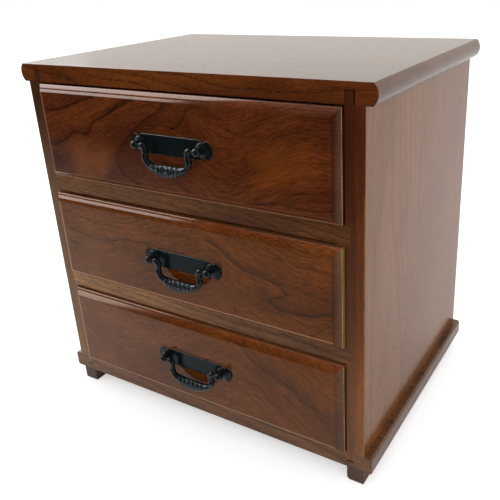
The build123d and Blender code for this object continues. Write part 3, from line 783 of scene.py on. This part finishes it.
def relief(x, turn):
    """Height of the cast leaves, 0 to 1, at a place on the grip: turn is 0 at the front."""
    across = turn * grip_radius_mm
    nearest = ridge_half_mm
    for cx, cw, radius, opening in scrolls_mm:
        angle = (atan2(across - cw, x - cx) - radians(opening)) % (2 * pi)
        if angle < scroll_turn:
            curl = radius * (1.0 - 0.55 * angle / scroll_turn)
            nearest = min(nearest, abs(hypot(x - cx, across - cw) - curl))
    for x0, w0, x1, w1 in ribs_mm:
        run, rise = x1 - x0, w1 - w0
        share = ((x - x0) * run + (across - w0) * rise) / (run * run + rise * rise)
        share = min(1.0, max(0.0, share))
        nearest = min(nearest, hypot(x - x0 - share * run, across - w0 - share * rise))
    return 0.5 + 0.5 * cos(pi * nearest / ridge_half_mm)


def smooth_stations():
    """The stations of the whole bail at small steps, on a smooth curve through the given ones."""
    half = [Vector(station) for station in bail_stations_mm]
    whole = half + [Vector((-s[0], s[1], s[2], s[3])) for s in reversed(half[:-1])]
    steps = [whole[0]]
    for before, a, b, after in zip(whole[:1] + whole, whole, whole[1:], whole[2:] + whole[-1:]):
        parts = max(1, round(hypot(b[0] - a[0], b[1] - a[1]) / ring_gap_mm))
        for i in range(1, parts + 1):
            t = i / parts
            steps.append(0.5 * (2 * a + (b - before) * t
                                + (2 * before - 5 * a + 4 * b - after) * t * t
                                + (3 * a - before - 3 * b + after) * t ** 3))
    return steps


def cast_bail():
    """The bail about its pull's middle, hanging straight down: rings, bridged one to the next."""
    shape = bmesh.new()
    rubbed = shape.verts.layers.float.new("rubbed")
    steps = smooth_stations()
    last = None
    for i, step in enumerate(steps):
        ahead, back = steps[min(i + 1, len(steps) - 1)], steps[max(i - 1, 0)]
        way = atan2(ahead[1] - back[1], ahead[0] - back[0])
        x, z, width, depth = step
        at = Matrix.Translation((x / 1000, 0, z / 1000)) @ Matrix.Rotation(-way, 4, "Y")
        ring = bmesh.ops.create_circle(shape, segments=56, radius=0.001,
                                       cap_ends=i in (0, len(steps) - 1),
                                       matrix=at @ Matrix.Rotation(pi / 2, 4, "Y"))["verts"]
        for vert in ring:
            away = at.inverted() @ vert.co * 1000
            high = lift = 0.0
            if z < grip_from_mm:
                high = relief(x, atan2(-away.z, -away.y))
                lift = relief_depth_mm * (high - relief_sunk)
            grown = Vector((0, away.y * (depth + lift), away.z * (width + lift))) / 1000
            vert.co = at @ grown
            share = (high - rubbed_from) / (rubbed_bare - rubbed_from)
            vert[rubbed] = min(1.0, max(0.0, share))
        edges = list({edge for vert in ring for edge in vert.link_edges
                      if edge.other_vert(vert) in ring})
        if last is not None:
            bmesh.ops.bridge_loops(shape, edges=last + edges)
        last = edges
    bmesh.ops.remove_doubles(shape, verts=shape.verts, dist=0.000002)
    return shape


bail = cast_bail()
for level in drawers:
    iron_piece(bail.copy(), level + "_cast_bail", level + "_pull_bail", level + "_bail",
               pull_middle(level) + Vector((0, -pivot_reach, 0)))
bail.free()


# ---- Floor and lights ----
# A white sweep and an even surround, bright behind and dim in front. A tall window on the left
# draws the bright lines on the bevels and the iron.
def shows_background(tree):
    """1 for the camera's rays, a fifth for those that iron or lacquer mirrors, 0 for light."""
    path = add_node(tree, "LightPath").outputs
    mirrored = combined(tree, path["Is Glossy Ray"], path["Is Transmission Ray"], how="MAXIMUM")
    mirrored = add_node(tree, "Math", {0: mirrored, 1: 0.2}, operation="MULTIPLY")
    return combined(tree, path["Is Camera Ray"], mirrored, how="MAXIMUM")


def white_sweep():
    """Matt white paper that shows as plain white, and keeps the chest's shadow."""
    material, tree, _ = new_material("white_sweep")
    paper = add_node(tree, "BsdfPrincipled", {"Base Color": srgb("#f2f2f2"), "Roughness": 0.9})
    glow = add_node(tree, "Emission", {"Color": (1, 1, 1, 1), "Strength": 0.5})
    dark = add_node(tree, "Emission", {"Strength": 0.0})
    shown = add_node(tree, "MixShader", {0: shows_background(tree), 1: dark, 2: glow})
    both = add_node(tree, "AddShader", {0: paper, 1: shown})
    add_node(tree, "OutputMaterial", {"Surface": both})
    return material


def stage_card(name, middle, span, material, turn=0.0):
    """A flat card on the stage, turned about Y from lying flat."""
    card = bmesh.new()
    bmesh.ops.create_grid(card, x_segments=1, y_segments=1, size=0.5,
                          matrix=Matrix.Translation(middle) @ Matrix.Rotation(turn, 4, "Y")
                          @ Matrix.Diagonal((span[0], span[1], 1.0, 1.0)))
    mesh = bpy.data.meshes.new(name)
    card.to_mesh(mesh)
    card.free()
    mesh.materials.append(material)
    made = bpy.data.objects.new(name, mesh)
    bpy.context.scene.collection.objects.link(made)
    return made


stage_card("floor", (0.0, 0.0, 0.0), (12.0, 12.0), white_sweep())


def dark_cloth():
    """Black gauze in a fan on the floor in front: thin near the chest and at its two sides."""
    material, tree, place = new_material("black_gauze")
    split = add_node(tree, "SeparateXYZ", {0: place}).outputs
    forward = add_node(tree, "MapRange", {"Value": split["Y"], "From Min": -0.23,
                                          "From Max": -1.05})
    turned = add_node(tree, "Math", {0: split["X"], 1: split["Y"]},
                      operation="DIVIDE")
    right = add_node(tree, "MapRange", {"Value": turned, "From Min": 1.1, "From Max": -0.3,
                                        "To Max": 0.49})
    edge = add_node(tree, "MapRange", {"Value": turned, "From Min": -1.0, "From Max": -2.0,
                                       "To Max": -0.45})
    cover = add_node(tree, "Math", {0: forward, 1: right}, operation="ADD")
    cover = add_node(tree, "Math", {0: cover, 1: edge}, operation="ADD", use_clamp=True)
    hem = add_node(tree, "MapRange", {"Value": split["Y"], "From Min": -0.15,
                                      "From Max": -0.3})
    cover = combined(tree, cover, hem)
    clear = add_node(tree, "BsdfTransparent")
    cloth = add_node(tree, "BsdfDiffuse", {"Color": srgb("#0c0c0c")})
    mixed = add_node(tree, "MixShader", {0: cover, 1: clear, 2: cloth})
    add_node(tree, "OutputMaterial", {"Surface": mixed})
    return material


# Only reflections see this dark sheet: it puts a dark reflection on the lacquered fronts, in place
# of the dim room in front.
gauze = stage_card("dark_cloth", (-1.4, -3.025, 0.002), (9.0, 5.75), dark_cloth())
gauze.visible_camera = False
gauze.visible_diffuse = False
gauze.visible_shadow = False


def window_light():
    """A bright window with an upright front edge that slants back in its upper half."""
    material, tree, place = new_material("window_light")
    split = add_node(tree, "SeparateXYZ", {0: place}).outputs
    slant = add_node(tree, "MapRange", {"Value": split["Z"], "From Min": 1.95,
                                        "From Max": 2.95, "To Max": 1.15})
    behind = add_node(tree, "Math", {0: split["Y"], 1: slant}, operation="SUBTRACT")
    strength = add_node(tree, "MapRange", {"Value": behind, "From Min": -1.14, "From Max": -1.06,
                                           "To Max": 4.6})
    glow = add_node(tree, "Emission", {"Color": srgb("#fffaf9"), "Strength": strength})
    add_node(tree, "OutputMaterial", {"Surface": glow})
    return material


window = stage_card("window", (-1.6, -0.45, 1.9), (2.2, 3.3), window_light(), radians(90))
window.visible_camera = False
window.visible_diffuse = False


def even_surround():
    """White to the eye and as a light, and in mirrors dim in front and dimmer overhead."""
    world = bpy.data.worlds.new("surround")
    world.use_nodes = True
    sky = world.node_tree
    sky.nodes.clear()
    way = add_node(sky, "TexCoord").outputs["Generated"]
    way = add_node(sky, "SeparateXYZ", {0: way}).outputs
    behind = add_node(sky, "MapRange", {"Value": way["Y"], "From Min": -0.5,
                                        "From Max": 0.3, "To Min": 0.12, "To Max": 1.0})
    overhead = add_node(sky, "MapRange", {"Value": way["Z"], "From Min": 0.4,
                                          "From Max": 0.8, "To Min": 1.0, "To Max": 0.7})
    path = add_node(sky, "LightPath").outputs
    even = combined(sky, path["Is Camera Ray"], path["Is Diffuse Ray"], how="MAXIMUM")
    strength = combined(sky, combined(sky, behind, overhead), even, how="MAXIMUM")
    tint = add_node(sky, "Mix", {"Factor": even, "A": srgb("#fffaf2"), "B": (1, 1, 1, 1)},
                    data_type="RGBA")
    around = add_node(sky, "Background", {"Color": tint, "Strength": strength})
    add_node(sky, "OutputWorld", {"Surface": around})
    return world


bpy.context.scene.world = even_surround()
bpy.context.scene.view_settings.view_transform = "Standard"
